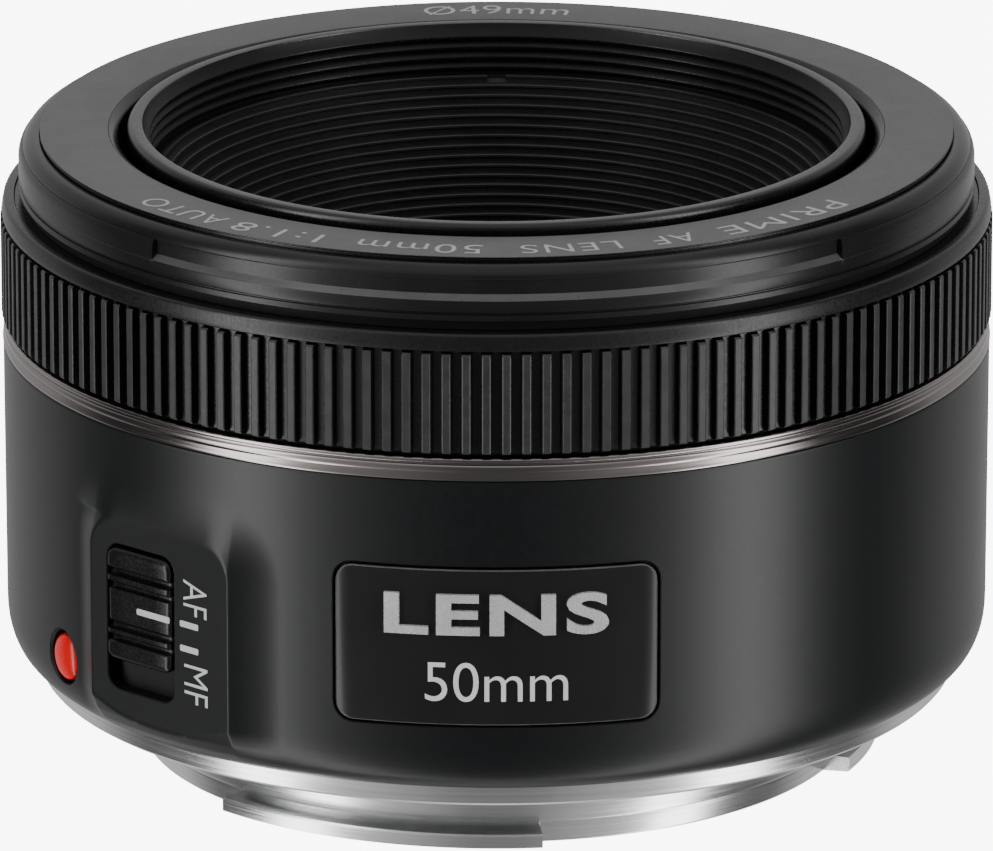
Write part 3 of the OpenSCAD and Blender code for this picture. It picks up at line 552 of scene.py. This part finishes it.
def knob_d(z):
    """Height of the cap above the pad plane: two raised ends, two pairs of grooves and a lower middle."""
    top = 0.3
    if 9.95 < z < 13.2:
        top = 0.15
    for c in (14.0, 12.97, 10.12, 9.2):
        g = abs(z - c) / 0.3
        if g < 1:
            top = min(top, 0.3 - 0.48 * (1 - g * g) ** 0.5)
    e = min(z - KNOB[2], KNOB[3] - z)
    if e < 0.6:
        top = min(top, 0.3 - 0.6 + (0.6 ** 2 - (0.6 - e) ** 2) ** 0.5)
    return PAD_D + top


def knob():
    u0, u1, z0, z1 = KNOB
    zs = [z0 + (z1 - z0) * i / 117 for i in range(118)]
    across = [(0, -9), (0, -0.3), (0.05, -0.13), (0.17, -0.04), (0.36, 0.0), (1.5, 0.0)]
    verts = []
    for z in zs:
        e = min(z - z0, z1 - z)
        w = 0.8 - (0.8 ** 2 - max(0, 0.8 - e) ** 2) ** 0.5 if e < 0.8 else 0.0
        row = [(u0 + w + a, d) for a, d in across] + [(u1 - w - a, d) for a, d in reversed(across)]
        verts += [pad_place(u, 33.66 if d < -1 else max(33.7, knob_d(z) + d), z) for u, d in row]
    k, n = 2 * len(across), len(zs)
    faces = [(i * k + j, i * k + j + 1, (i + 1) * k + j + 1, (i + 1) * k + j)
             for i in range(n - 1) for j in range(k - 1)]
    faces += [(i * k, i * k + k - 1, (i + 1) * k + k - 1, (i + 1) * k) for i in range(n - 1)]
    faces += [tuple(range(k)), tuple((n - 1) * k + j for j in range(k))]
    return make("switch_knob", verts, faces, ["knob"], SWITCH, ["mode_switch"], None, 40)


knob()
strip("switch_stem", -2.6, -1.3, 10.4, 11.8, 0.1, [(0, 31.6), (0, 33.8)], pad_place, ["knob"], SWITCH, n=2)
strip("switch_index", -1.9, 1.16, 11.28, 11.73, 0.12, [(0, PAD_D + 0.1), (0, PAD_D + 0.165)], pad_place,
      ["print"], SWITCH, n=6)
for nm, z in (("mark_af", 11.51), ("mark_mf", 9.76)):
    strip(nm, 2.0, 3.7, z - 0.22, z + 0.22, 0.1, [(0, PAD_D - 0.03), (0, PAD_D + 0.02)], pad_place,
          ["print"], BODY, n=4)


def on_pad(uc, zc):
    return lambda x, y, h: Vector(pad_place(uc + y, PAD_D + h, zc - x))


lettering("legend_af", "AF", on_pad(3.43, 13.5), 2.15, 2.5, ["print"], BODY, bold=-0.006, gap=1.0)
lettering("legend_mf", "MF", on_pad(3.46, 7.3), 2.15, 2.75, ["print"], BODY, bold=-0.006, gap=1.0)

# ---------------------------------------------------------------- trim ring
trim = [(32.2, 21.6), (32.95, 21.6), (32.95, 23.93), (34.4, 23.93), (34.5, 23.98), (34.54, 24.1), (34.52, 24.26),
        (34.36, 24.46), (34.36, 24.5), (34.44, 24.6), (34.46, 24.75), (34.44, 24.92), (34.34, 25.02), (34.28, 25.06),
        (34.28, 25.12), (34.34, 25.16), (34.42, 25.24), (34.43, 25.34), (34.38, 25.45), (34.26, 25.51), (32.2, 25.51)]
lathe("trim_band", trim, ["trim"], BODY, ["trim_ring"], smooth=40)

# ---------------------------------------------------------------- focus ring
def grip_columns(count=160):
    """(angle, level) of every column: level 0 lies between the ribs and 3 on top of a rib."""
    p = 360.0 / count
    q = [(-0.5, 0), (-0.30, 0), (-0.235, 1), (-0.215, 2), (-0.16, 3), (0.16, 3), (0.215, 2), (0.235, 1), (0.30, 0)]
    return [((i + 0.5 + a) * p, lv) for i in range(count) for a, lv in q]


def grip():
    levels = {0: 34.03, 1: 34.42, 2: 34.56, 3: 34.6}
    low = [(31.26, 26.4), (32.02, 26.4), (32.02, 25.74), (33.9, 25.74), (34.03, 25.8)]
    high = [(34.0, 32.93), (34.0, 32.99), (34.4, 33.03), (34.47, 33.09), (34.5, 33.2), (34.5, 33.45),
            (34.4, 33.98), (34.36, 34.08), (34.29, 34.17), (34.2, 34.22), (34.1, 34.25), (33.65, 34.25),
            (33.58, 34.1), (31.26, 34.1)]
    gc = grip_columns()
    body, verts, faces, ids = [], [], [], []
    for t, lv in gc:
        r = levels[lv]
        drop = 0.12 if lv else 0.0
        col = low + [(max(34.03, r - drop), 25.86), (r, 25.98), (r, 32.74), (max(34.03, r - drop), 32.86)] + high
        verts += [polar(rr, t, z) for rr, z in col]
        body.append(lv)
    k, n = len(low) + 4 + len(high), len(gc)
    for i in range(n):
        j = (i + 1) % n
        for q in range(k):
            w = (q + 1) % k
            faces.append((i * k + q, i * k + w, j * k + w, j * k + q))
            # The ribs' outer faces and their bevels take the lighter colour, a painted highlight.
            crest = len(low) <= q < len(low) + 3 and body[i] >= 2 and body[j] >= 2
            ids.append(1 if crest else 0)
    return make("focus_grip", verts, faces, ["rib", "crest"], GRIP, ["focus_ring"], ids, 28)


grip()

# ---------------------------------------------------------------- front bezel
def bezel_loop(t):
    """Outline of the bezel; kk is 1 inside the two hood recesses, which lie opposite each other."""
    d = wrap(t)
    d = min(abs(d), 180 - abs(d)) * (1 if (abs(d) <= 90) == (d >= 0) else -1)
    kk = max(0.004, min(1.0, (d + 44.5) / 0.06, (44.75 - d) / 0.05))
    return ([(26.3, 33.2), (26.3, 38.2), (26.33, 38.32), (26.42, 38.48), (26.9, 38.84), (26.99, 38.875), (27.01, 38.86),
             (27.01, 38.1), (31.8, 38.1), (31.8, 38.47), (31.83, 38.53), (31.95, 38.55), (32.15, 38.52), (32.35, 38.47),
             (32.52, 38.39), (32.68, 38.27), (32.81, 38.13), (32.9, 38.0), (32.97, 37.87), (33.0, 37.74), (33.0, 37.71),
             (33.12 - 0.1 * kk, 37.69), (33.19 - 0.3 * kk, 37.6), (33.24 - 0.36 * kk, 37.45), (33.28 - 0.4 * kk, 37.3),
             (33.3 - 0.42 * kk, 37.15), (33.3 - 0.42 * kk, 36.26 + 0.38 * kk), (33.3 - 0.38 * kk, 36.255 + 0.325 * kk),
             (33.3 - 0.03 * kk, 36.25), (33.3, 36.2), (33.3, 35.5), (33.28, 35.43), (33.16, 35.37), (33.14, 35.33),
             (33.15, 35.28), (33.26, 35.23), (33.29, 35.16), (33.3, 34.86), (33.27, 34.82), (31.2, 34.82), (31.2, 25.6),
             (29.9, 25.6), (29.9, 36.0), (27.6, 36.0), (27.6, 33.2)])


ends = [wrap(s0 + e) for s0 in (0, 180) for e in (-44.5, -44.44, 44.7, 44.75)]
# Faces 26 and 27, the ledge in each hood recess, carry the pale painted highlight.
sweep("bezel_body", turns(300, ends), bezel_loop, ["bezel", "step_highlight_paint"],
      BODY, ["front_bezel"], [1 if i in (26, 27) else 0 for i in range(45)], 33)
lathe("name_band", [(27.03, 38.11), (31.74, 38.11), (31.74, 38.66), (31.78, 38.69), (31.78, 38.76),
                    (31.72, 38.79), (31.72, 38.83), (31.77, 38.87), (31.74, NAME_TOP), (27.12, NAME_TOP),
                    (27.06, 38.89), (27.03, 38.86)],
      ["name", "lip"], BODY, ["name_ring"], idx=[1] * 7 + [0] * 5, smooth=35)


def on_name_ring(t0, rb):
    return lambda x, y, h: Vector(polar(rb + y, t0 - math.degrees(x / rb), NAME_TOP + h))


RING_WORDS = [("PRIME", 40.8, 10.6, 1.85), ("AF", 23.6, 3.1, 1.85), ("LENS", 9.6, 6.8, 1.85),
              ("50mm", -10.0, 8.6, 1.95), ("1:1.8", -29.7, 6.7, 1.9), ("AUTO", -45.3, 7.4, 1.85)]
for i, (word, t0, w, h) in enumerate(RING_WORDS):
    lettering("ring_text_%d" % i, word, on_name_ring(t0, 30.0), h, w, ["print_grey"], BODY,
              bold=-0.004, gap=1.1, base=0.012)
lettering("ring_text_back", "\u00d849mm", on_name_ring(180.0, 29.55), 2.15, 10.5, ["print_grey"], BODY,
          bold=-0.004, gap=1.05, base=0.012)

# ---------------------------------------------------------------- inner barrel
thread = []
for q in range(4):
    zc = 38.37 - 0.75 * q
    thread += [(24.45, zc + 0.36), (24.17, zc + 0.13), (24.13, zc + 0.06),
               (24.13, zc - 0.06), (24.17, zc - 0.13), (24.45, zc - 0.36)]
TUBE_BACK = [(24.45, 35.5), (23.8, 35.5), (23.8, 34.6), (23.45, 34.6), (23.45, 34.0), (23.6, 33.8), (23.6, 27.5),
             (20.4, 27.5)]
tube = ([(20.4, 4.6), (21.94, 4.6), (21.94, 26.5), (25.5, 26.5), (25.7, 26.7), (25.7, 38.72)] +
        arcpts((25.28, 38.86), 0.42, 0.44, 90, 0, 7) + [(24.74, 39.3), (24.66, 39.28), (24.62, 39.2)] + thread +
        TUBE_BACK)
t0 = len(tube) - len(TUBE_BACK) - len(thread)
tube_ids = [1 if i == t0 - 1 or (i >= t0 and (i - t0) % 6 != 2) else 0 for i in range(len(tube))]
lathe("focusing_tube", tube, ["lip", "pocket"], FOCUS, ["focusing_barrel"], idx=tube_ids, smooth=35)
RIDGES = [22.96, 22.5, 22.04, 21.58, 21.11, 20.65, 20.21, 19.78, 19.36, 18.95, 18.54, 18.13, 17.72, 17.31, 16.9, 16.49]


def funnel_loop(t):
    """Stepped baffle with a small notch in its rim at the back."""
    w = 0.3 if abs(t) > 178.4 else 0.0
    out = [(23.76, 34.6), (23.76, 35.45), (23.66, 35.74), (23.41 + w * 0.8, 35.74), (23.38 + w, 35.7),
           (23.38 + w, 35.56), (23.45 + w, 35.5), (23.45, 35.22)]
    for q, r in enumerate(RIDGES):
        z = 35.16 - 0.61 * q
        out += [(r + 0.06, z + 0.03), (r, z - 0.03), (r, z - 0.17), (r + 0.05, z - 0.22),
                (r + 0.16, z - 0.28), (r + 0.16, z - 0.58)]
    return out + [(16.2, 25.35), (16.2, 25.1), (17.6, 25.1), (17.9, 26.2), (23.4, 33.9), (23.4, 34.6)]


# Valleys, the inner rim and the back faces (1) take the darker colour: painted shade.
ids = [0, 0, 0, 0, 0, 1, 1, 1] + [0, 0, 0, 1, 1, 1] * len(RIDGES) + [1] * 6
sweep("funnel", turns(300, (178.39, 178.41, -178.39, -178.41)), funnel_loop, ["baffle", "recess_shade_paint"], FOCUS,
      ["front_baffle"], ids, 35)

# ---------------------------------------------------------------- camera mount
TABS = ((-44.6, 6.8), (65.9, 117.0), (190.0, 240.0))


def mount_loop(t):
    """Outline of the mount; kk is 1 where a bayonet tab stands out."""
    t = (t + 90) % 360 - 90
    kk = 0.0
    for a, b in TABS:
        if a <= t <= b:
            kk = max(kk, min(1.0, (t - a) / 0.02, (b - t) / 0.02))
    x = 2.0 * kk
    return [(22.5, -5.07), (22.56, -5.19), (22.7, -5.25), (24.8, -5.25), (24.94, -5.21),
            (25.0 + 0.01 * kk, -5.15), (25.005 + x - 0.16 * kk, -5.14 + 0.14 * kk),
            (25.01 + x - 0.01 * kk, -5.06 + 0.14 * kk), (25.01 + x - 0.01 * kk, -4.1),
            (25.005 + x - 0.1 * kk, -3.96), (25.0 + 0.01 * kk, -3.95), (25.0, -3.52), (25.04, -3.5),
            (25.62, -3.5), (25.76, -3.46), (25.8, -3.36), (25.8, 0.3), (27.2, 0.3), (27.2, 0.04),
            (27.24, 0.0), (31.96, 0.0), (32.06, 0.06), (32.2, 0.22), (32.2, 1.39), (22.5, 1.39)]


tab_ends = [wrap(e + d) for a, b in TABS
            for e, d in ((a, 0), (a, 0.02), (a, -0.01), (b, 0), (b, -0.02), (b, 0.01))]
# Face 9, the top of each bayonet tab, takes the darker metal: painted shade.
mount = sweep("mount_body", turns(300, tab_ends), mount_loop, ["mount", "seat"], BODY, ["mount_ring"],
              [1 if i == 9 else 0 for i in range(25)], 33)


def on_flange(r, t):
    return lambda x, d, z: polar(r - z, t + math.degrees(x / r), d)


countersink = [(circle(1.6, 0), -0.3), (circle(1.47, 0), 0.0), (circle(0.76, 0), 0.7), (circle(0.76, 0), 3)]
cuts = [loft("cut_m", countersink, on_flange(29.7, t), ["mount"], None) for t in (25, 115, 205, 295)]
cuts.append(loft("cut_pin", [(circle(1.3, 0), -1), (circle(1.3, 0), 1.2)], on_flange(29.2, -105), ["mount"], None))
cut(mount, cuts)

# ---------------------------------------------------------------- studio
white, _, shader = nodes_of("floor_white")
shader.inputs["Base Color"].default_value = (0.9, 0.9, 0.9, 1)
shader.inputs["Roughness"].default_value = 0.8
shader.inputs["Specular IOR Level"].default_value = 0.0
shader.inputs["Emission Color"].default_value = (1, 1, 1, 1)
shader.inputs["Emission Strength"].default_value = 8.0
# The floor lights and mirrors nothing, so that the black parts show the studio alone.
bpy.ops.mesh.primitive_plane_add(size=8, location=(0, 0, -0.00527))
floor = bpy.context.object
floor.name = "floor"
floor.data.materials.append(white)
floor.visible_glossy = floor.visible_diffuse = floor.visible_shadow = False

# Studio brightness by angle from the front: two tall soft boxes at 60 degrees either side, dark flags beside
# them and a pale surround behind. OVERHEAD takes over above.
AROUND = [(0, 0.16), (10, 0.18), (20, 0.3), (30, 0.42), (40, 0.6), (50, 1.7), (56, 5.9), (64, 6.4),
          (69, 3.2), (74, 0.7), (79, 0.09), (98, 0.06), (110, 0.25), (124, 0.6), (150, 0.65), (180, 0.85)]
TOP = 8.0
OVERHEAD = 0.85
world = bpy.data.worlds.new("studio") if scene.world is None else scene.world
scene.world = world
world.use_nodes = True
wt = world.node_tree
wt.nodes.clear()
out = wt.nodes.new("ShaderNodeOutputWorld")
bg = wt.nodes.new("ShaderNodeBackground")
tc = wt.nodes.new("ShaderNodeTexCoord")
sp = wt.nodes.new("ShaderNodeSeparateXYZ")
ang = wt.nodes.new("ShaderNodeMath")
neg = wt.nodes.new("ShaderNodeMath")
mag = wt.nodes.new("ShaderNodeMath")
ramp = wt.nodes.new("ShaderNodeFloatCurve")
lift = wt.nodes.new("ShaderNodeMapRange")
mix = wt.nodes.new("ShaderNodeMix")
neg.operation, ang.operation, mag.operation = "MULTIPLY", "ARCTAN2", "ABSOLUTE"
neg.inputs[1].default_value = -1.0
wt.links.new(tc.outputs["Generated"], sp.inputs[0])
wt.links.new(sp.outputs["Y"], neg.inputs[0])
wt.links.new(sp.outputs["X"], ang.inputs[0])
wt.links.new(neg.outputs[0], ang.inputs[1])
wt.links.new(ang.outputs[0], mag.inputs[0])
scale_deg = wt.nodes.new("ShaderNodeMath")
scale_deg.operation = "MULTIPLY"
scale_deg.inputs[1].default_value = 1 / math.pi
wt.links.new(mag.outputs[0], scale_deg.inputs[0])
wt.links.new(scale_deg.outputs[0], ramp.inputs["Value"])
cv = ramp.mapping.curves[0]
cv.points[0].location = (0, AROUND[0][1] / TOP)
cv.points[1].location = (1, AROUND[-1][1] / TOP)
for a, v in AROUND[1:-1]:
    cv.points.new(a / 180.0, v / TOP)
for pt in cv.points:
    pt.handle_type = "AUTO_CLAMPED"
ramp.mapping.update()
up = wt.nodes.new("ShaderNodeMath")
up.operation = "MULTIPLY"
up.inputs[1].default_value = TOP
wt.links.new(ramp.outputs[0], up.inputs[0])
lift.interpolation_type = "SMOOTHSTEP"
lift.inputs["From Min"].default_value, lift.inputs["From Max"].default_value = 0.5, 0.95
wt.links.new(sp.outputs["Z"], lift.inputs["Value"])
wt.links.new(lift.outputs["Result"], mix.inputs["Factor"])
wt.links.new(up.outputs[0], mix.inputs["A"])
mix.inputs["B"].default_value = OVERHEAD
wt.links.new(mix.outputs["Result"], bg.inputs["Strength"])
wt.links.new(bg.outputs[0], out.inputs[0])

cam_data = bpy.data.cameras.new("camera")
cam_data.lens, cam_data.sensor_width = 421.2, 36.0
cam_data.clip_start, cam_data.clip_end = 0.05, 20
cam = bpy.data.objects.new("camera", cam_data)
cam.location = (0, -0.7768, 0.2654)
cam.rotation_euler = (math.radians(90 - 17.74), 0, 0)
scene.collection.objects.link(cam)
scene.camera = cam
